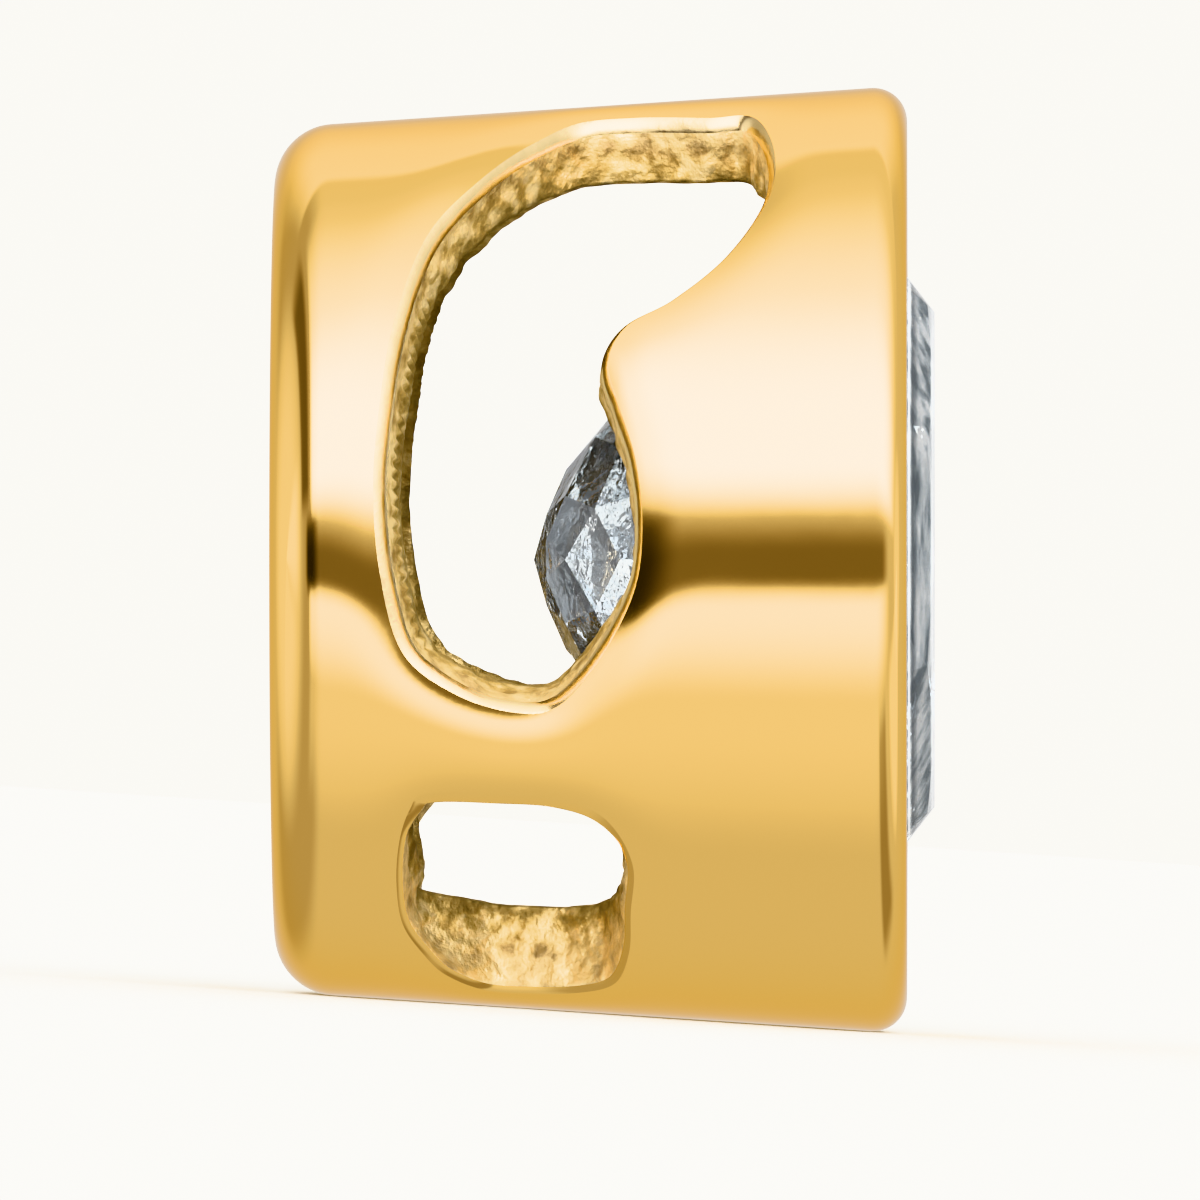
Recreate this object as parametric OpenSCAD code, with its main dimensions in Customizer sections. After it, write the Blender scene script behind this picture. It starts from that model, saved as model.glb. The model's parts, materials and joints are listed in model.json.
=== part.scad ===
// Slide pendant: a hollow, slightly conical gold drum that holds one round stone in its front end.
// A chain runs in at one large side opening and out at the other, behind the stone.
// The drum is drawn on its own axis (z from the back face towards the stone, y up), then
// turned so that the stone faces -Y and the side wall lies along the ground at z = 0.

/* [Housing] */
// Depth of the housing from its flat back to its front rim
depth = 5.9; // [5.8:0.05:6.4]
// Radius of the side wall where it would meet the back face
back_r = 4.03; // [3.95:0.01:4.3]
// Angle at which the side wall widens towards the stone
taper = 3.82; // [2.5:0.01:5]
// Radius of the rounded edge round the back face
back_round = 0.56; // [0.3:0.01:0.6]
// Radius of the rounded edge round the front rim
front_round = 0.32; // [0.1:0.01:0.4]

/* [Hollow] */
// Thickness of the side wall
wall = 0.75; // [0.6:0.01:0.8]
// Distance that the hollow sits above the drum's own axis
hollow_rise = 0.1; // [0:0.01:0.12]
// Thickness of the flat ring that closes the back
back_thick = 0.9; // [0.6:0.05:0.9]
// Radius of the round opening in the back
back_open_r = 2.4; // [1.8:0.05:2.8]
// Thickness of the ring that carries the stone, measured behind its seat
ledge = 0.17; // [0.1:0.01:0.2]
// Radius of the round hole through the ring that carries the stone
ledge_r = 2.95; // [2.8:0.01:3.05]

/* [Side openings] */
// How far the back edge of the large opening slopes inwards through the wall
large_slope = 0.3; // [0:0.01:0.35]

/* [Stone] */
// Diameter of the stone at its girdle
stone_d = 6.5; // [6.4:0.01:6.6]
// Diameter of its table across the corners
table_d = 4.62; // [4.4:0.01:4.7]
// Diameter across the points of the star facets round the table
star_d = 5.12; // [5:0.01:5.2]
// Height that the table stands proud of the front rim
table_proud = 0.25; // [0.2:0.01:0.4]
// Slope of the crown below the star facets
crown_slope = 44; // [40:0.5:46]
// Slope of the star facets
star_slope = 15; // [10:0.5:20]
// Thickness of the girdle
girdle = 0.09; // [0.05:0.01:0.15]
// Slope of the pavilion next to the girdle
pavilion_slope = 49.7; // [48:0.1:50]
// Clearance between the stone and the gold
setting_gap = 0.03; // [0.02:0.005:0.05]

/* [Hidden] */
round_fn = 96;
// Segments in a quarter turn of a rounded edge
edge_steps = 8;
// Points that a smoothed outline gets for each row of its table
outline_steps = 4;
// Radii that the cutters of the side openings run between
cut_in_r = 2.4;
cut_out_r = 6.6;

// Outlines of the side openings, one row for each point, read clockwise from the photographed side.
// Columns: distance from the back face in mm, angle round the drum above its widest level in degrees.
LARGE_OPENING = [
    [4.47, 73.8],
    [4.67, 62],
    [4.62, 51.5],
    [4.27, 41.7],
    [3.76, 34.7],
    [3.31, 31],
    [3.14, 26],
    [3.24, 20],
    [3.40, 12.5],
    [3.46, 4],
    [3.38, -4.2],
    [3.05, -13.2],
    [2.68, -19.2],
    [2.30, -20.3],
    [1.75, -18.1],
    [1.25, -12.6],
    [1.04, -2.5],
    [0.97, 9],
    [1.02, 20],
    [1.15, 33],
    [1.45, 48],
    [1.93, 60],
    [2.42, 70.5],
    [2.85, 77.5],
    [3.38, 78.2],
    [4.05, 75.6],
];
SMALL_OPENING = [
    [1.46, -31.9],
    [2.10, -31.6],
    [2.70, -32],
    [3.12, -35],
    [3.36, -42],
    [3.34, -51],
    [3.32, -60],
    [3.18, -69.5],
    [2.86, -74.2],
    [2.42, -76.3],
    [1.98, -76],
    [1.62, -70.5],
    [1.40, -63.5],
    [1.22, -56],
    [1.17, -47.5],
    [1.20, -40],
    [1.30, -34.6],
];
// A point inside each outline that sees all of it
LARGE_CENTRE = [2.3, 26];
SMALL_CENTRE = [2.3, -54];
// Distance over which the slope of the large opening's back edge dies away
slope_run = 1.15;
large_back = 0.97;

// Tiers of the pavilion below the girdle. Columns: radius of the tier's corners, height above the culet.
PAVILION_TIERS = [
    [0.46, 0.12],
    [0.84, 0.3],
    [1.24, 0.58],
    [1.47, 0.82],
];

function wall_r(along) = back_r + along * tan(taper);
// The rounded edges: centres of their arcs, inside the wall line
back_arc_r = wall_r(back_round) - back_round / cos(taper);
front_arc_r = wall_r(depth - front_round) - front_round / cos(taper);

stone_r = stone_d / 2;
table_along = depth + table_proud;
star_along = table_along - (star_d - table_d) / 2 * tan(star_slope);
girdle_top = star_along - (stone_r - star_d / 2) * tan(crown_slope);
girdle_foot = girdle_top - girdle;
last_tier = PAVILION_TIERS[len(PAVILION_TIERS) - 1];
pavilion_depth = last_tier[1] + (stone_r - last_tier[0]) * tan(pavilion_slope);
culet_along = girdle_foot - pavilion_depth;

// The seat runs parallel to the pavilion and the lip parallel to the crown, clear of the stone.
// A groove between them takes the girdle.
groove_r = stone_r + setting_gap;
seat_shift = setting_gap / cos(pavilion_slope);
lip_shift = setting_gap / cos(crown_slope);
groove_foot = girdle_foot - seat_shift + (groove_r - stone_r) * tan(pavilion_slope);
groove_top = girdle_top + lip_shift - (groove_r - stone_r) * tan(crown_slope);
lip_r = groove_r - (depth - groove_top) / tan(crown_slope);
seat_foot = groove_foot - (groove_r - ledge_r) * tan(pavilion_slope);
hollow_front = seat_foot - ledge;

// Height of the axis above the ground at the back face, and the shift that centres the part over the origin
lift = back_r * cos(taper);
rear_y = back_arc_r * sin(taper) + back_round * (1 - cos(taper));
front_y = -table_along * cos(taper) - table_d / 2 * sin(taper);
shift_y = -(rear_y + front_y) / 2;

function arc(centre, radius, from, to) = [
    for (i = [0 : edge_steps])
        let (angle = from + (to - from) * i / edge_steps)
            centre + radius * [cos(angle), sin(angle)]
];

// One point on a closed smooth curve through the rows of an outline
function between(a, b, c, d, t) =
    0.5 * (2 * b + t * (c - a) + t * t * (2 * a - 5 * b + 4 * c - d) + t * t * t * (3 * b - 3 * c + d - a));

function smooth_outline(rows) = let (n = len(rows)) [
    for (i = [0 : n - 1])
        for (s = [0 : outline_steps - 1])
            between(
                rows[(i + n - 1) % n],
                rows[i],
                rows[(i + 1) % n],
                rows[(i + 2) % n],
                s / outline_steps
            )
];

// How far the cut runs forwards for each millimetre that it goes into the wall
function slope_at(along, slope) = slope / wall * max(0, 1 - (along - large_back) / slope_run);

// A point of a side opening's cut: p is its place on the outer surface, r the radius asked for
function cut_point(p, r, slope) =
    let (along = p[0] + slope_at(p[0], slope) * (wall_r(p[0]) - r))
        [-r * cos(p[1]), r * sin(p[1]), along];

// The solid that cuts one side opening, straight towards the drum's axis
module opening_cutter(rows, middle, slope) {
    rim = smooth_outline(rows);
    n = len(rim);
    inner = [for (p = rim) cut_point(p, cut_in_r, slope)];
    outer = [for (p = rim) cut_point(p, cut_out_r, slope)];
    points = concat(inner, outer, [cut_point(middle, cut_in_r, 0), cut_point(middle, cut_out_r, 0)]);
    sides = [for (i = [0 : n - 1]) let (j = (i + 1) % n) each [[i, j, n + j], [i, n + j, n + i]]];
    caps = [for (i = [0 : n - 1]) let (j = (i + 1) % n) each [[2 * n, j, i], [2 * n + 1, n + i, n + j]]];
    polyhedron(points, concat(sides, caps));
}

module side_openings() {
    for (side = [0, 1])
        mirror([side, 0, 0]) {
            opening_cutter(LARGE_OPENING, LARGE_CENTRE, large_slope);
            opening_cutter(SMALL_OPENING, SMALL_CENTRE, 0);
        }
}

// The outside of the drum: flat back, rounded edges, conical wall and flat front rim
module drum() {
    rotate_extrude($fn = round_fn)
        polygon(concat(
            [[0, 0]],
            arc([back_arc_r, back_round], back_round, -90, -taper),
            arc([front_arc_r, depth - front_round], front_round, -taper, 90),
            [[0, depth]]
        ));
}

// The hollow behind the stone, which is a little above the drum's axis and follows its taper
module hollow() {
    translate([0, hollow_rise, back_thick])
        cylinder(
            h = hollow_front - back_thick,
            r1 = wall_r(back_thick) - wall,
            r2 = wall_r(hollow_front) - wall,
            $fn = round_fn
        );
}

// Everything turned on the axis: the back opening and the seat, groove and lip for the stone
module bore_and_seat() {
    rotate_extrude($fn = round_fn)
        polygon([
            [0, -1],
            [back_open_r, -1],
            [back_open_r, back_thick + 0.1],
            [ledge_r, back_thick + 0.5],
            [ledge_r, seat_foot],
            [groove_r, groove_foot],
            [groove_r, groove_top],
            [lip_r, depth],
            [lip_r, depth + 1],
            [0, depth + 1],
        ]);
}

module in_place() {
    translate([0, shift_y, lift])
        rotate([90 - taper, 0, 0])
            children();
}

module housing() {
    color([0.93, 0.72, 0.36])
        in_place()
            difference() {
                drum();
                hollow();
                bore_and_seat();
                side_openings();
            }
}

// A ring of corners on the stone, the first at the top when phase is 90
function corners(count, radius, along, phase) = [
    for (i = [0 : count - 1])
        let (angle = phase + i * 360 / count)
            [radius * cos(angle), radius * sin(angle), along]
];

module stone() {
    crown = concat(
        corners(8, table_d / 2, table_along, 90),
        corners(8, star_d / 2, star_along, 112.5)
    );
    middle = concat(
        corners(16, stone_r, girdle_top, 90),
        corners(16, stone_r, girdle_foot, 90)
    );
    tiers = [
        for (i = [0 : len(PAVILION_TIERS) - 1])
            each corners(8, PAVILION_TIERS[i][0], culet_along + PAVILION_TIERS[i][1], 90 + 22.5 * (i + 1))
    ];
    points = concat(crown, middle, tiers, [[0, 0, culet_along]]);
    color([0.86, 0.9, 0.95])
        in_place()
            hull()
                polyhedron(points, [for (i = [0 : len(points) - 3]) [i, i + 1, i + 2]]);
}

housing();
stone();
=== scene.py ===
import json
from math import asin, atan2, cos, exp, hypot, pi, radians, sin, tan

import bmesh
import bpy
import numpy as np
from mathutils import Matrix, Vector, noise
from mathutils.bvhtree import BVHTree

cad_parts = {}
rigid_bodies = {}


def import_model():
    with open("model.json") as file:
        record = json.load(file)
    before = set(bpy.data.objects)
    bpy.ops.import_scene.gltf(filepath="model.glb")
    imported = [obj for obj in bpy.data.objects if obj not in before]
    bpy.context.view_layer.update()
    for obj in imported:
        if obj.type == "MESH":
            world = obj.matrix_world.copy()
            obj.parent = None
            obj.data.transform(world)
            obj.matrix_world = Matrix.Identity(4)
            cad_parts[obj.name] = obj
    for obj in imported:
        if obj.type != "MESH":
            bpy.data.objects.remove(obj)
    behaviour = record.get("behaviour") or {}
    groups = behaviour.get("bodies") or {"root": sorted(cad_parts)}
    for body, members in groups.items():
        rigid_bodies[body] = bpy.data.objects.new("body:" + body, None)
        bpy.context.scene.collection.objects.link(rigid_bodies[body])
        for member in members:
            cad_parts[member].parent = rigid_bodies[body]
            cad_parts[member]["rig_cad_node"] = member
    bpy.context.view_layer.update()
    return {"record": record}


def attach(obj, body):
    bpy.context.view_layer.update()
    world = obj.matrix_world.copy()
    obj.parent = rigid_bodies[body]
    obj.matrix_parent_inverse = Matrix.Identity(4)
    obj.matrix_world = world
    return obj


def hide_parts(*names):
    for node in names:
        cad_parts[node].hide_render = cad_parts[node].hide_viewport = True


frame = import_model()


# The drum of the housing. The real one is cast in yellow gold in one piece: a slightly conical
# drum with a flat back, a wide hollow for the chain, and a lip in front that is pushed over the
# stone. It is shaped in millimetres on its own axis: x across, y up, z towards the stone.
depth = 5.9
back_r = 4.03
back_round = 0.5238
front_round = 0.342
wall = 0.75
hollow_rise = 0.1
back_thick = 0.9
back_open_r = 2.4
back_open_round = 0.12
ledge_r = 2.95
hollow_front = 4.757
seat_foot = 4.927
groove_r = 3.28
groove_foot = 5.316
groove_top = 5.429
lip_r = 2.793
lip_round = 0.05
mount_below_axis = 2.95
turning_steps = 360
# The four rounded corners of its section, with the steps of each, from the back opening outwards
ROUNDED_CORNERS = (
    (back_open_round, 6),
    (back_round, 16),
    (front_round, 14),
    (lip_round, 4),
)
# Lengths of the mesh along the section, finer where the polished outside shows it
outside_from = 3.9
outside_step = 0.075
inside_step = 0.16

back_face = next(m for m in frame["record"]["mounts"] if m["name"] == "back_face")
along_axis = -Vector(back_face["axis"]).normalized()
up_axis = along_axis.cross(Vector((1, 0, 0)))
taper = asin(along_axis.z)
drum_centre = Vector(back_face["pos_m"]) + up_axis * mount_below_axis * 0.001
drum_place = Matrix((Vector((1, 0, 0)), up_axis, along_axis)).transposed().to_4x4()
drum_place = Matrix.Translation(drum_centre) @ drum_place @ Matrix.Scale(0.001, 4)


def wall_r(along):
    return back_r + along * tan(taper)


def radius_of(point):
    return hypot(point[0], point[1])


section = [
    (back_open_r, 0),
    (back_r, 0),
    (wall_r(depth), depth),
    (lip_r, depth),
    (groove_r, groove_top),
    (groove_r, groove_foot),
    (ledge_r, seat_foot),
    (ledge_r, hollow_front),
    (wall_r(hollow_front) - wall, hollow_front),
    (wall_r(back_thick) - wall, back_thick),
    (back_open_r, back_thick),
]
drum = bmesh.new()
corners = [drum.verts.new((r, 0, along)) for r, along in section]
for a, b in zip(corners, corners[1:] + corners[:1]):
    drum.edges.new((a, b))
for corner, (size, steps) in zip(corners, ROUNDED_CORNERS):
    bmesh.ops.bevel(
        drum,
        geom=[corner],
        offset=size,
        offset_type="OFFSET",
        segments=steps,
        profile=0.5,
        affect="VERTICES",
        material=-1,
    )
for edge in drum.edges[:]:
    step = outside_step if radius_of(edge.verts[0].co) > outside_from else inside_step
    parts = int(edge.calc_length() / step)
    if parts > 1:
        bmesh.ops.subdivide_edges(drum, edges=[edge], cuts=parts - 1)
bmesh.ops.spin(
    drum,
    geom=drum.verts[:] + drum.edges[:],
    cent=(0, 0, 0),
    axis=(0, 0, 1),
    angle=2 * pi,
    steps=turning_steps,
    use_merge=True,
)
bmesh.ops.recalc_face_normals(drum, faces=drum.faces[:])

# The outside and the lip are polished, and everything that a wheel can't reach is as cast
POLISHED, CAST = 0, 1
for face in drum.faces:
    middle = face.calc_center_median()
    within_wall = radius_of(middle) < wall_r(middle.z) - wall / 2
    inside = back_open_round < middle.z < seat_foot and within_wall
    face.material_index = CAST if inside else POLISHED
    face.smooth = True
# The hollow lies a little above the drum's own axis
hollow_margin = 0.01
ledge_margin = 0.1
in_hollow = [
    v for v in drum.verts
    if back_thick - hollow_margin < v.co.z < hollow_front + hollow_margin
    and ledge_r + ledge_margin < radius_of(v.co) < wall_r(v.co.z) - wall / 2
]
bmesh.ops.translate(drum, verts=in_hollow, vec=(0, hollow_rise, 0))


# The side openings, alike on both sides. They are cut in the wax before casting, so their walls
# are rough, and the polishing wheel later rounds the metal down towards each edge. Each row of
# an outline is its distance from the back in millimetres and its angle above the widest level.
LARGE_OPENING = (
    (4.47, 73.8),
    (4.67, 62),
    (4.62, 51.5),
    (4.27, 41.7),
    (3.76, 34.7),
    (3.31, 31),
    (3.14, 26),
    (3.24, 20),
    (3.40, 12.5),
    (3.46, 4),
    (3.38, -4.2),
    (3.05, -13.2),
    (2.68, -19.2),
    (2.30, -20.3),
    (1.75, -18.1),
    (1.25, -12.6),
    (1.04, -2.5),
    (0.97, 9),
    (1.02, 20),
    (1.15, 33),
    (1.45, 48),
    (1.93, 60),
    (2.42, 70.5),
    (2.85, 77.5),
    (3.38, 78.2),
    (4.05, 75.6),
)
SMALL_OPENING = (
    (1.46, -31.9),
    (2.10, -31.6),
    (2.70, -32),
    (3.12, -35),
    (3.36, -42),
    (3.34, -51),
    (3.32, -60),
    (3.18, -69.5),
    (2.86, -74.2),
    (2.42, -76.3),
    (1.98, -76),
    (1.62, -70.5),
    (1.40, -63.5),
    (1.22, -56),
    (1.17, -47.5),
    (1.20, -40),
    (1.30, -34.6),
)
unrolled_r = 4.2
outline_step = 0.043
curve_step = 0.02


def smooth_outline(rows):
    """Even steps on a closed smooth curve through the rows, in mm along and round the wall."""
    points = np.array([(along, unrolled_r * radians(angle)) for along, angle in rows])
    a, b, c, d = (np.roll(points, shift, axis=0) for shift in (1, 0, -1, -2))
    bend = 2 * a - 5 * b + 4 * c - d
    twist = 3 * b - 3 * c + d - a
    curve = [
        0.5 * (2 * b + t * (c - a) + t**2 * bend + t**3 * twist)
        for t in np.arange(0, 1, curve_step)
    ]
    curve = np.stack(curve, axis=1).reshape(-1, 2)
    curve = np.vstack([curve, curve[:1]])
    run = np.concatenate([[0], np.cumsum(np.linalg.norm(np.diff(curve, axis=0), axis=1))])
    stations = np.linspace(0, run[-1], int(run[-1] / outline_step), endpoint=False)
    return np.stack([np.interp(stations, run, curve[:, side]) for side in (0, 1)], axis=1)


large_outline = smooth_outline(LARGE_OPENING)
small_outline = smooth_outline(SMALL_OPENING)

# How much of the wheel's soft face lies over an opening, on a fine grid over the unrolled wall.
# The polished surface is worn down in proportion to it.
large_wear = 0.2
small_wear = 0.07
wheel_reach = 0.24
# The wheel takes less off the side next to the stone
less_wear_from = 2.5
less_wear_run = 0.7
less_wear_share = 0.4
# Only the skin of the wall outside this radius is worn, down to this share of its thickness
worn_from = 3.4
worn_share = 0.8
cell = 0.03
past_ends = 0.6
half_round = 8.1
blur_reach = 3.2
grid_along = np.arange(-past_ends, depth + past_ends, cell)
grid_around = np.arange(-half_round, half_round, cell)


def inside_outline(outline, along, around):
    hit = np.zeros(along.shape, dtype=bool)
    for (a0, a1), (b0, b1) in zip(outline, np.roll(outline, -1, axis=0)):
        crosses = (a1 > around) != (b1 > around)
        hit ^= crosses & (along < a0 + (around - a1) / (b1 - a1 + 1e-12) * (b0 - a0))
    return hit


def softened(grid):
    half = int(blur_reach * wheel_reach / cell)
    weights = np.exp(-0.5 * (np.arange(-half, half + 1) * cell / wheel_reach) ** 2)
    weights = weights / weights.sum()
    for axis in (0, 1):
        grid = sum(w * np.roll(grid, i - half, axis=axis) for i, w in enumerate(weights))
    return grid


over_wall = np.meshgrid(grid_along, grid_around, indexing="ij")
worn_less = np.clip((over_wall[0] - less_wear_from) / less_wear_run, 0, 1) * less_wear_share
wear = softened(
    large_wear * (1 - worn_less) * inside_outline(large_outline, *over_wall)
    + small_wear * inside_outline(small_outline, *over_wall)
)


def worn_by(along, around):
    """How far the polished surface lies below the plain wall, in mm."""
    i, s = divmod((along - grid_along[0]) / cell, 1)
    j, t = divmod((around - grid_around[0]) / cell, 1)
    i, j = int(i), int(j)
    near = (1 - t) * wear[i, j] + t * wear[i, j + 1]
    far = (1 - t) * wear[i + 1, j] + t * wear[i + 1, j + 1]
    return float((1 - s) * near + s * far)


for vert in drum.verts:
    r = radius_of(vert.co)
    if r > worn_from and r > wall_r(vert.co.z) - wall * worn_share:
        around = unrolled_r * atan2(vert.co.y, abs(vert.co.x))
        left = 1 - worn_by(vert.co.z, around) / r
        vert.co.x *= left
        vert.co.y *= left

drum_mesh = bpy.data.meshes.new("housing_gold")
drum.to_mesh(drum_mesh)
drum.free()

# The cut through the wall, as rings of the outline: how far outside the outline each ring lies,
# and how far below the worn surface. The first rings are the rounded, polished rim.
RIM_RINGS = (
    (0.12, -0.064),
    (0.0, 0.0),
    (-0.018, 0.018),
    (-0.045, 0.052),
    (-0.07, 0.095),
    (-0.08, 0.13),
)
rim_depth = RIM_RINGS[-1][1]
# The large opening's rim is widest next to the back
rim_narrow = 0.85
rim_widens = 0.75
rim_wide_to = 1.1
rim_narrows_over = 0.9
# The small opening's rim is widest along its top
small_rim = 1.5
small_rim_depth = 0.1
small_rim_widens = 2.2
small_top = -unrolled_r * radians(32)
small_top_reach = 0.5
# The cut runs on past the wall: outwards to its mouth, which is wider, and inwards to the hollow
cut_step = 0.055
cut_depth = 1.05
mouth_x = -6.5
mouth_flare = 1.12
hollow_x = -0.3
hollow_taper = 0.9
# Next to the back, the walls of the openings slope towards the stone as they go in
opening_back = 0.97
slope_run = 1.15
# Roughness of the casting: lumps, streaks that run into the wall, and crumbs, with their heights
# and the number of each to the millimetre. It grows from nothing below the polished rim.
cast_lumps = 0.045
lumps_per_mm = 2.3
cast_streaks = 0.03
streaks_per_mm = 2.2
streaks_lean = 1.5
streaks_inwards = 6
cast_crumbs = 0.03
crumbs_per_mm = 7.1
crumbs_apart = Vector((5, 0, 0))
rough_over = 0.12
# A row of small ridges that the wax cutter left along the back edge of the large opening
ridge_pitch = 0.143
ridge_height = 0.026
ridge_end_along = 1.35
ridge_below = 0.43
ridge_reach = 0.17
rough_between_ridges = 0.3
# The lower corner of the small opening next to the back is squarer inside than at the rim
squared_corner = (1.52, -unrolled_r * radians(67))
squared_reach = 0.42
squared_over = 0.4


def outward(outline):
    tangent = np.roll(outline, -1, axis=0) - np.roll(outline, 1, axis=0)
    normal = np.stack([tangent[:, 1], -tangent[:, 0]], axis=1)
    following = np.roll(outline, -1, axis=0)
    area = np.sum(outline[:, 0] * following[:, 1] - following[:, 0] * outline[:, 1])
    return normal / np.linalg.norm(normal, axis=1)[:, None] * (1 if area > 0 else -1)


def opening_cut(cut, outline, back_slope, rim_size, rim_slot, polished_to, ridged, squared):
    """Adds the closed solid that cuts one opening through the wall on the -x side."""
    places = list(zip(outline, outward(outline), [worn_by(*p) for p in outline]))

    def point(index, offset, below):
        p, normal, worn = places[index]
        deep = max(0.0, below - rim_depth)
        if below <= rim_depth:
            below *= rim_size
        else:
            below -= rim_depth * (1 - rim_size)
        offset *= rim_size
        if offset < 0 and ridged:
            near_back = max(0.0, 1 - max(0.0, p[0] - rim_wide_to) / rim_narrows_over)
            offset *= rim_narrow + rim_widens * near_back
        elif offset < 0:
            near_top = min(1.0, max(0.0, 1 + (p[1] - small_top) / small_top_reach))
            offset *= small_rim + small_rim_widens * near_top
        to_corner = hypot(p[0] - squared_corner[0], p[1] - squared_corner[1])
        near_corner = exp(-((to_corner / squared_reach) ** 2))
        offset += squared * near_corner * min(1.0, deep / squared_over)
        along, around = p + normal * offset
        r = wall_r(along) - worn - below
        lean = back_slope / wall * max(0.0, 1 - (p[0] - opening_back) / slope_run)

        def in_wall(along, around):
            angle = around / unrolled_r
            return Vector((-r * cos(angle), r * sin(angle), along + lean * deep))

        smooth = in_wall(along, around)
        if deep == 0:
            return smooth
        inwards = Vector(
            (
                p[0] * streaks_per_mm,
                p[1] * streaks_per_mm - below * streaks_lean,
                below * streaks_inwards,
            )
        )
        bump = cast_lumps * noise.noise(smooth * lumps_per_mm)
        bump += cast_streaks * noise.noise(inwards)
        bump += cast_crumbs * noise.noise(smooth * crumbs_per_mm + crumbs_apart)
        if p[0] < ridge_end_along and ridged:
            bump *= rough_between_ridges
            share = max(0.0, 1 - ((below - ridge_below) / ridge_reach) ** 2)
            bump += ridge_height * share * sin(2 * pi * around / ridge_pitch)
        return in_wall(*(p + normal * (offset + min(1.0, deep / rough_over) * bump)))

    count = len(outline)
    depths = np.arange(rim_depth + cut_step, cut_depth, cut_step)
    rings = list(RIM_RINGS) + [(RIM_RINGS[-1][0], below) for below in depths]
    first = [point(i, *rings[0]) for i in range(count)]
    verts = [cut.verts.new((mouth_x, p.y * mouth_flare, p.z)) for p in first]
    loop = [cut.edges.new(pair) for pair in zip(verts, verts[1:] + verts[:1])]
    bmesh.ops.contextual_create(cut, geom=loop)

    def next_ring(loop, spots, material):
        made = bmesh.ops.extrude_edge_only(cut, edges=loop)["geom"]
        for vert, spot in zip((g for g in made if isinstance(g, bmesh.types.BMVert)), spots):
            vert.co = spot
        for face in (g for g in made if isinstance(g, bmesh.types.BMFace)):
            face.material_index = material
            face.smooth = True
        return [g for g in made if isinstance(g, bmesh.types.BMEdge)]

    for offset, below in rings:
        material = rim_slot if below <= polished_to else CAST
        loop = next_ring(loop, [point(i, offset, below) for i in range(count)], material)
    last = [point(i, *rings[-1]) for i in range(count)]
    loop = next_ring(loop, [Vector((hollow_x, p.y * hollow_taper, p.z)) for p in last], CAST)
    bmesh.ops.contextual_create(cut, geom=loop)


RIM, SMALL_RIM = 2, 3
cuts = bmesh.new()
opening_cut(
    cuts,
    large_outline,
    back_slope=0.18,
    rim_size=1.0,
    rim_slot=RIM,
    polished_to=rim_depth,
    ridged=True,
    squared=0.0,
)
opening_cut(
    cuts,
    small_outline,
    back_slope=0.08,
    rim_size=0.55,
    rim_slot=SMALL_RIM,
    polished_to=small_rim_depth,
    ridged=False,
    squared=0.32,
)
both_cuts = cuts.verts[:] + cuts.edges[:] + cuts.faces[:]
bmesh.ops.mirror(cuts, geom=both_cuts, axis="X", merge_dist=-1)
bmesh.ops.recalc_face_normals(cuts, faces=cuts.faces[:])
cuts_mesh = bpy.data.meshes.new("openings_cut")
cuts.to_mesh(cuts_mesh)
cuts.free()

polished_gold = bpy.data.materials.new("polished_gold")
cast_gold = bpy.data.materials.new("cast_gold")
rim_gold = bpy.data.materials.new("rim_gold")
for mesh in (drum_mesh, cuts_mesh):
    for material in (polished_gold, cast_gold, rim_gold, polished_gold):
        mesh.materials.append(material)

drum_object = bpy.data.objects.new("drum", drum_mesh)
cuts_object = bpy.data.objects.new("cuts", cuts_mesh)
for helper in (drum_object, cuts_object):
    bpy.context.collection.objects.link(helper)
cutting = drum_object.modifiers.new("openings", "BOOLEAN")
cutting.operation = "DIFFERENCE"
cutting.solver = "EXACT"
cutting.material_mode = "INDEX"
cutting.object = cuts_object
cut_drum = drum_object.evaluated_get(bpy.context.evaluated_depsgraph_get())
housing_mesh = bpy.data.meshes.new_from_object(cut_drum)
housing_mesh.name = "housing_gold"

# The polished wall keeps the smooth normals of the uncut drum, so its reflections run cleanly
# up to every edge
smooth_from = 3.3
shell = BVHTree.FromPolygons(
    [v.co for v in drum_mesh.vertices],
    [p.vertices for p in drum_mesh.polygons],
)
wall_normal = [Vector(n.vector) for n in drum_mesh.vertex_normals]


def polished_normal(spot):
    near, _, index, _ = shell.find_nearest(spot)
    ring = drum_mesh.polygons[index].vertices
    weights = [1 / ((drum_mesh.vertices[i].co - near).length + 1e-7) ** 2 for i in ring]
    return sum((wall_normal[i] * w for i, w in zip(ring, weights)), Vector()).normalized()


corner_normals = [(0.0, 0.0, 0.0)] * len(housing_mesh.loops)
found = {}
for face in housing_mesh.polygons:
    if face.material_index == POLISHED and radius_of(face.center) > smooth_from:
        for loop in face.loop_indices:
            corner = housing_mesh.loops[loop].vertex_index
            if corner not in found:
                found[corner] = polished_normal(housing_mesh.vertices[corner].co)
            corner_normals[loop] = found[corner]

# An edge is sharp where two finishes meet
finishes = {}
for face in housing_mesh.polygons:
    for key in face.edge_keys:
        finishes.setdefault(key, set()).add(face.material_index)
for edge in housing_mesh.edges:
    edge.use_edge_sharp = len(finishes[edge.key]) > 1
housing_mesh.normals_split_custom_set(corner_normals)
housing_mesh.transform(drum_place)
for helper in (drum_object, cuts_object):
    bpy.data.objects.remove(helper)
housing_gold = bpy.data.objects.new("housing_gold", housing_mesh)
bpy.context.collection.objects.link(housing_gold)
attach(housing_gold, "root")
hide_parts("housing")
def add_node(tree, kind, inputs=(), **settings):
    """A shader node; its inputs are plain values or the outputs of other nodes."""
    node = tree.nodes.new(kind)
    for name, value in settings.items():
        setattr(node, name, value)
    for name, value in dict(inputs).items():
        if isinstance(value, bpy.types.NodeSocket):
            tree.links.new(value, node.inputs[name])
        else:
            node.inputs[name].default_value = value
    return node


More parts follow.
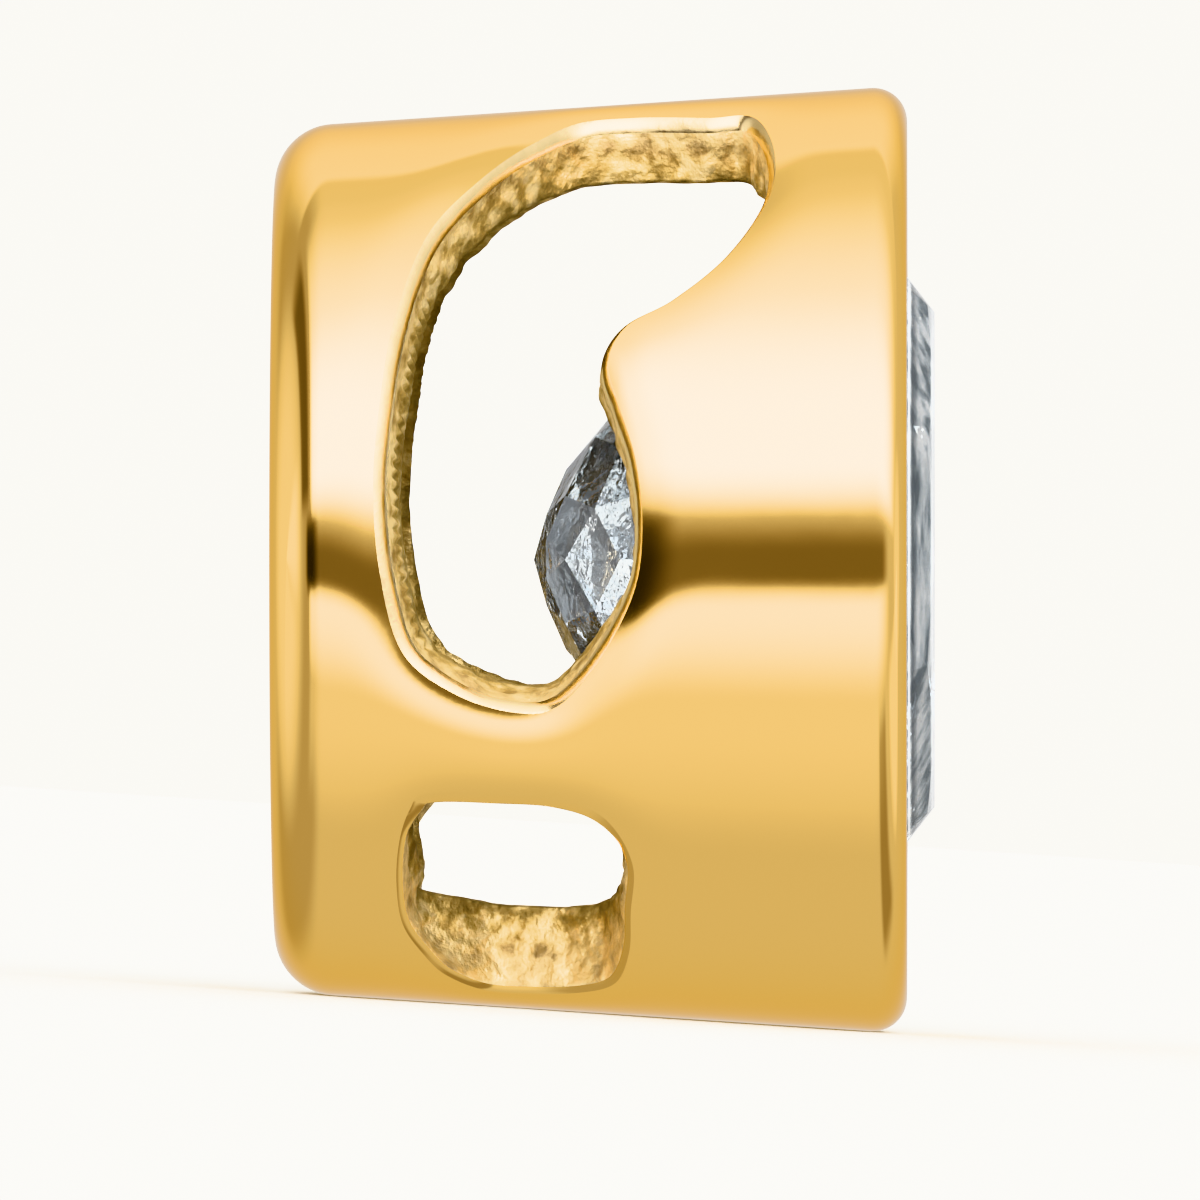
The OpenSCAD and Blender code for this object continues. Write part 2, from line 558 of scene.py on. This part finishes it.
def worked_out(tree, operation, *values):
    return add_node(tree, "ShaderNodeMath", enumerate(values), operation=operation).outputs[0]


def vectors(tree, operation, *values):
    return add_node(tree, "ShaderNodeVectorMath", enumerate(values), operation=operation)


def blended(tree, share, first, second):
    """From the first colour to the second as the share grows from 0 to 1."""
    inputs = {"Factor": share, "A": first, "B": second}
    return add_node(tree, "ShaderNodeMix", inputs, data_type="RGBA").outputs["Result"]


def between(tree, value, low, high, low_at=0.3, high_at=0.7, curve="LINEAR"):
    """Carries a value between low_at and high_at over to the range from low to high."""
    inputs = {"Value": value, "From Min": low_at, "From Max": high_at, "To Min": low, "To Max": high}
    return add_node(tree, "ShaderNodeMapRange", inputs, interpolation_type=curve).outputs[0]


def ramp(tree, value, stops):
    """A ramp of colours, or of greys where a stop has a single number."""
    node = add_node(tree, "ShaderNodeValToRGB", {0: value})
    while len(node.color_ramp.elements) < len(stops):
        node.color_ramp.elements.new(0.5)
    for stop, (position, colour) in zip(node.color_ramp.elements, stops):
        stop.position = position
        stop.color = (*colour, 1) if isinstance(colour, tuple) else (colour, colour, colour, 1)
    return node.outputs[0]


def grain(tree, per_mm, detail):
    """Fine noise on the piece's own coordinates, per_mm features to the millimetre."""
    place = add_node(tree, "ShaderNodeTexCoord").outputs["Object"]
    inputs = {"Vector": place, "Scale": per_mm * 1000, "Detail": detail}
    return add_node(tree, "ShaderNodeTexNoise", inputs).outputs["Fac"]


def raised(tree, shader, value, height, strength):
    inputs = {"Height": value, "Distance": height, "Strength": strength}
    bump = add_node(tree, "ShaderNodeBump", inputs)
    tree.links.new(bump.outputs[0], shader.inputs["Normal"])


def gold(material, colour, edge, in_stone, roughness):
    """The many reflections inside the stone leave hardly any colour of the gold behind it, so
    the gold is greyer where it is seen in there."""
    material.use_nodes = True
    tree = material.node_tree
    shader = tree.nodes["Principled BSDF"]
    shader.inputs["Base Color"].default_value = (*colour, 1)
    shader.inputs["Specular Tint"].default_value = (*edge, 1)
    shader.inputs["Metallic"].default_value = 1
    shader.inputs["Roughness"].default_value = roughness
    rays = add_node(tree, "ShaderNodeLightPath")
    shown = blended(tree, rays.outputs["Is Transmission Ray"], (*colour, 1), (*in_stone, 1))
    tree.links.new(shown, shader.inputs["Base Color"])
    return tree, shader, shown.node.inputs["A"]


# Mirror polish: hardly any haze, a little more of it in patches that the wheel touched less
tree, shader, _ = gold(polished_gold, (0.95, 0.61, 0.19), (1.0, 0.8, 0.5), (0.22, 0.24, 0.26), 0.06)
patches = grain(tree, 0.7, 3)
tree.links.new(between(tree, patches, 0.045, 0.085), shader.inputs["Roughness"])
raised(tree, shader, grain(tree, 1.6, 2), height=0.0000015, strength=0.6)

# The rounded rim of the large openings is only brushed by the wheel, and looks paler
dark_in_stone = (0.03, 0.033, 0.038)
tree, shader, _ = gold(rim_gold, (0.92, 0.71, 0.37), (0.95, 0.82, 0.55), dark_in_stone, 0.16)
brushed = grain(tree, 5, 3)
tree.links.new(between(tree, brushed, 0.26, 0.14), shader.inputs["Roughness"])
raised(tree, shader, brushed, height=0.00001, strength=0.5)

# As cast: a fine sandy skin, matt in part, with a spotted tone from noise: pale gold spots, and
# brown spots that are painted shade standing in for crevices
tree, shader, skin = gold(cast_gold, (0.6, 0.45, 0.2), (0.85, 0.7, 0.42), dark_in_stone, 0.4)
shader.inputs["Metallic"].default_value = 0.75
sandy = grain(tree, 5, 6)
tree.links.new(between(tree, sandy, 0.6, 0.28), shader.inputs["Roughness"])
raised(tree, shader, grain(tree, 9, 4), height=0.00005, strength=0.9)
# Noise-driven spotted tone; its brown stops are painted shade standing in for crevices, not the
# gold's own colour
tones_and_painted_shade = ramp(
    tree,
    sandy,
    (
        (0.35, (0.15, 0.085, 0.025)),
        (0.42, (0.3, 0.19, 0.06)),
        (0.5, (0.5, 0.345, 0.12)),
        (0.61, (0.84, 0.64, 0.3)),
    ),
)
# The skin changes with its distance from the hollow's axis, in metres, by an uneven line
unevenness = 0.0008
hollow_centre = drum_centre + up_axis * hollow_rise * 0.001
place = add_node(tree, "ShaderNodeTexCoord").outputs["Object"]
from_centre = vectors(tree, "SUBTRACT", place, hollow_centre).outputs[0]
off_axis = vectors(tree, "CROSS_PRODUCT", from_centre, along_axis).outputs[0]
distance = vectors(tree, "LENGTH", off_axis).outputs["Value"]
distance = worked_out(tree, "MULTIPLY_ADD", sandy, unevenness, distance)
# Inside the hollow, out of the wheel's reach, it is more even
deep_inside = between(tree, distance, 0.65, 0.0, 0.00392, 0.00412)
tones_and_painted_shade = blended(tree, deep_inside, tones_and_painted_shade, (0.42, 0.29, 0.1, 1))
# Next to the rim it is half polished
near_rim = between(tree, distance, 0.0, 0.4, 0.00402, 0.00432)
tones_and_painted_shade = blended(tree, near_rim, tones_and_painted_shade, (0.85, 0.66, 0.34, 1))
# Towards the hollow's axis the skin is darker, down to 0.6 of its tone, fading in about where the
# walls of the openings meet the hollow
hollow_darkness_scale = between(tree, distance, 0.6, 1.0, 0.00386, 0.00396)
tones_darker_in_hollow = vectors(tree, "SCALE", tones_and_painted_shade)
tree.links.new(hollow_darkness_scale, tones_darker_in_hollow.inputs["Scale"])
tree.links.new(tones_darker_in_hollow.outputs[0], skin)


# The stone: a round, colourless stone cut with a flat table, star facets and four tiers behind.
# It is polished all over and held by the lip alone.
stone = next(o for o in bpy.context.scene.objects if o.get("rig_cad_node") == "stone")
clear_stone = bpy.data.materials.new("clear_stone")
clear_stone.use_nodes = True
clear = (0.92, 0.95, 0.98, 1)
tree = clear_stone.node_tree
shader = tree.nodes["Principled BSDF"]
shader.inputs["Base Color"].default_value = clear
shader.inputs["Roughness"].default_value = 0.0
shader.inputs["IOR"].default_value = 1.75
shader.inputs["Specular IOR Level"].default_value = 0.2
shader.inputs["Transmission Weight"].default_value = 1
# The facets behind the girdle are a little rippled, so each shows several broken reflections
girdle_along = 5.37
girdle_at = (drum_place @ Vector((0, 0, girdle_along))).dot(along_axis)
place = add_node(tree, "ShaderNodeTexCoord").outputs["Object"]
along_stone = vectors(tree, "DOT_PRODUCT", place, along_axis).outputs["Value"]
behind = worked_out(tree, "LESS_THAN", along_stone, girdle_at)
raised(tree, shader, grain(tree, 2.6, 3), height=0.000028, strength=behind)

# The crown's slopes are painted with the room's reflections: a streaky blue-grey painted reflection,
# a painted highlight edge and a painted dark line next to the gold, and a painted highlight edge at
# the table. The stops of the last three ramps run from the girdle, 0, to the table, 1.
crown_depth = 0.78
per_crown = 1000 / crown_depth
from_girdle = worked_out(tree, "MULTIPLY_ADD", along_stone, per_crown, -girdle_at * per_crown)
stretched = vectors(tree, "MULTIPLY", place, (1.0, 1.0, 0.2)).outputs[0]
streak_inputs = {"Vector": stretched, "Scale": 7000, "Detail": 4}
streaks = add_node(tree, "ShaderNodeTexNoise", streak_inputs).outputs["Fac"]
painted_room_reflections = ramp(
    tree,
    streaks,
    ((0.4, (0.13, 0.17, 0.2)), (0.5, (0.48, 0.55, 0.6)), (0.6, (0.9, 0.94, 0.97))),
)
painted_highlight_edges = ramp(
    tree,
    from_girdle,
    ((0.0, 0.0), (0.68, 0.0), (0.7, 0.9), (0.73, 0.0), (0.95, 0.0), (0.98, 0.8)),
)
painted_dark_line = ramp(
    tree,
    from_girdle,
    ((0.0, 0.0), (0.72, 0.0), (0.745, 0.85), (0.78, 0.5), (0.81, 0.0)),
)
in_crown = ramp(tree, from_girdle, ((0.0, 0.0), (0.06, 1.0), (0.985, 1.0), (0.99, 0.0)))
# The painted dark line and the painted highlight edges are laid over the painted reflections
painted_crown = blended(tree, painted_dark_line, painted_room_reflections, (0.05, 0.07, 0.09, 1))
painted_crown = blended(tree, painted_highlight_edges, painted_crown, (0.95, 0.97, 1, 1))
tree.links.new(blended(tree, in_crown, clear, painted_crown), shader.inputs["Base Color"])
crown_clear = between(tree, in_crown, 1.0, 0.85, 0.0, 1.0)
# Less clear where the highlight edges are painted, so that the painted highlight shows
clear_less_at_highlights = worked_out(tree, "MULTIPLY_ADD", painted_highlight_edges, -0.4, crown_clear)
tree.links.new(clear_less_at_highlights, shader.inputs["Transmission Weight"])
for slot in stone.material_slots:
    slot.material = clear_stone

# The camera stands level with the openings, so far off that the drum shows almost no
# perspective, and is turned with the drum's taper so that the stone's table looks upright
camera_distance = 0.4
frame_width = 0.011196
aim_along = 3.032
aim_up = -0.378
swing = radians(0.5)
camera_data = bpy.data.cameras.new("camera")
camera_data.sensor_width = 36
camera_data.lens = camera_data.sensor_width * camera_distance / frame_width
camera_data.clip_start = 0.01
camera_data.clip_end = 3
camera = bpy.data.objects.new("camera", camera_data)
bpy.context.collection.objects.link(camera)
bpy.context.scene.camera = camera
aim = drum_place @ Vector((0, aim_up, aim_along))
towards_camera = Vector((-cos(swing), 0, 0)) + along_axis * sin(swing)
right = up_axis.cross(towards_camera)
turn = Matrix((right, up_axis, towards_camera)).transposed()
camera.matrix_world = Matrix.Translation(aim + towards_camera * camera_distance) @ turn.to_4x4()

# A pale floor, and soft light from a wide overhead panel
floor = bmesh.new()
bmesh.ops.create_circle(floor, cap_ends=True, segments=64, radius=0.3)
floor_mesh = bpy.data.meshes.new("floor")
floor.to_mesh(floor_mesh)
floor.free()
floor_object = bpy.data.objects.new("floor", floor_mesh)
bpy.context.collection.objects.link(floor_object)
floor_object.visible_glossy = False
floor_paint = bpy.data.materials.new("floor_paint")
floor_paint.use_nodes = True
shader = floor_paint.node_tree.nodes["Principled BSDF"]
shader.inputs["Base Color"].default_value = (0.64, 0.636, 0.62, 1)
shader.inputs["Roughness"].default_value = 1
shader.inputs["Specular IOR Level"].default_value = 0
floor_mesh.materials.append(floor_paint)

# The studio that the metal and the stone reflect: a wide soft box overhead, dim walls, a dark
# camera in front and a bright table edge below it. Each panel has its strength, then where its
# light starts, is full, stays full until and ends: first by the angle round the drum, 0 towards
# the camera, 90 straight up and -90 straight down, and then by the angle towards the stone.
PANELS = (
    ("soft_box", 8.0, (10, 24, 36, 72), (-35, -28, 30, 80)),
    ("soft_box_glow", 6.0, (10, 24, 45, 112), (-35, -28, 30, 80)),
    ("bright_wall_behind", 1.2, (119, 123, 135, 168), (-40, -20, 10, 40)),
    ("table_edge", 3.9, (-36, -13, -12, -6), (-40, -32, 10, 60)),
    ("table", 0.45, (-80, -40, -12, -6), (-40, -32, 10, 60)),
    ("window_at_the_back", 0.55, (-200, -190, 190, 200), (-100, -90, -75, -52)),
    ("light_strip_by_the_stone", 0.7, (-130, -110, -50, -30), (50, 60, 90, 91)),
    ("ceiling", 0.2, (100, 108, 119, 125), (-20, -8, 30, 80)),
    ("window_in_front", 0.5, (-200, -190, 190, 200), (74, 83, 90, 91)),
    ("window_glow", 0.9, (-25, 5, 25, 50), (-100, -90, -70, -55)),
    ("window_low", 0.22, (-130, -115, -45, -20), (-100, -95, -75, -55)),
)
# What darkens the walls: the share of light it takes, with the same angles
SHADES = (
    ("camera", 0.7, (-9, -4, 2, 13), (-48, -40, 30, 60)),
    ("camera_stand", 0.85, (-13, -6, 8, 16), (-46, -40, -32, -14)),
    ("dark_strip_by_the_stone", 0.5, (-130, -110, -50, -30), (16, 24, 36, 46)),
    ("corner", 0.3, (-170, -150, 150, 170), (-60, -46, -30, -14)),
    ("dark_corner_above", 0.7, (12, 24, 95, 120), (-56, -51, -42, -36)),
)
wall_light = 0.78
world = bpy.data.worlds.new("studio")
bpy.context.scene.world = world
world.use_nodes = True
tree = world.node_tree
tree.nodes.clear()


def within(value, start, full, last, end):
    """1 between full and last, and softly down to 0 at start and end."""
    rising = between(tree, value, 0.0, 1.0, start, full, "SMOOTHSTEP")
    falling = between(tree, value, 0.0, 1.0, end, last, "SMOOTHSTEP")
    return worked_out(tree, "MULTIPLY", rising, falling)


def region(around, along):
    return worked_out(tree, "MULTIPLY", within(round_drum, *around), within(to_stone, *along))


to_degrees = 180 / pi
seen_from = add_node(tree, "ShaderNodeTexCoord").outputs["Generated"]
turned = {"Vector": seen_from, "Angle": taper}
level = add_node(tree, "ShaderNodeVectorRotate", turned, rotation_type="X_AXIS").outputs[0]
split = add_node(tree, "ShaderNodeSeparateXYZ", {0: level})
facing = worked_out(tree, "MULTIPLY", split.outputs["X"], -1.0)
round_drum = worked_out(tree, "ARCTAN2", split.outputs["Z"], facing)
round_drum = worked_out(tree, "MULTIPLY", round_drum, to_degrees)
to_stone = worked_out(tree, "ARCSINE", split.outputs["Y"])
to_stone = worked_out(tree, "MULTIPLY", to_stone, -to_degrees)
light = wall_light
for _, strength, around, along in PANELS:
    light = worked_out(tree, "MULTIPLY_ADD", region(around, along), strength, light)
for _, share, around, along in SHADES:
    left = worked_out(tree, "MULTIPLY_ADD", region(around, along), -share, 1.0)
    light = worked_out(tree, "MULTIPLY", light, left)
# The dimmer walls are warmer
warmth = ramp(tree, light, ((0.1, (1, 0.8, 0.62)), (0.7, (1, 1, 1))))
studio = add_node(tree, "ShaderNodeBackground", {"Color": warmth, "Strength": light})

# Inside the stone the same room is seen broken up small, as bright and dark flashes
FLASHES = ((0.0, 0.0), (0.44, 0.002), (0.47, 0.03), (0.51, 0.12), (0.54, 0.45), (0.58, 1.0))
flash_light = 4.5
flash_inputs = {"Vector": level, "Scale": 4.5, "Detail": 2.5}
flashes = add_node(tree, "ShaderNodeTexNoise", flash_inputs).outputs["Fac"]
flash_colours = [(position, (share * 0.94, share * 0.98, share)) for position, share in FLASHES]
sparkle = ramp(tree, flashes, flash_colours)
sparkling = add_node(tree, "ShaderNodeBackground", {"Color": sparkle, "Strength": flash_light})
# The plain backdrop behind everything, and the soft light on what is not polished
backdrop = {"Color": (1, 0.985, 0.93, 1), "Strength": 2.0}
backdrop = add_node(tree, "ShaderNodeBackground", backdrop)
soft_light = {"Color": (1, 0.99, 0.95, 1), "Strength": 2.2}
soft_light = add_node(tree, "ShaderNodeBackground", soft_light)
rays = add_node(tree, "ShaderNodeLightPath")
seen = studio
for ray, instead in (
    ("Is Transmission Ray", sparkling),
    ("Is Camera Ray", backdrop),
    ("Is Diffuse Ray", soft_light),
):
    mixed = {0: rays.outputs[ray], 1: seen.outputs[0], 2: instead.outputs[0]}
    seen = add_node(tree, "ShaderNodeMixShader", mixed)
add_node(tree, "ShaderNodeOutputWorld", {"Surface": seen.outputs[0]})
bpy.context.scene.view_settings.view_transform = "Khronos PBR Neutral"
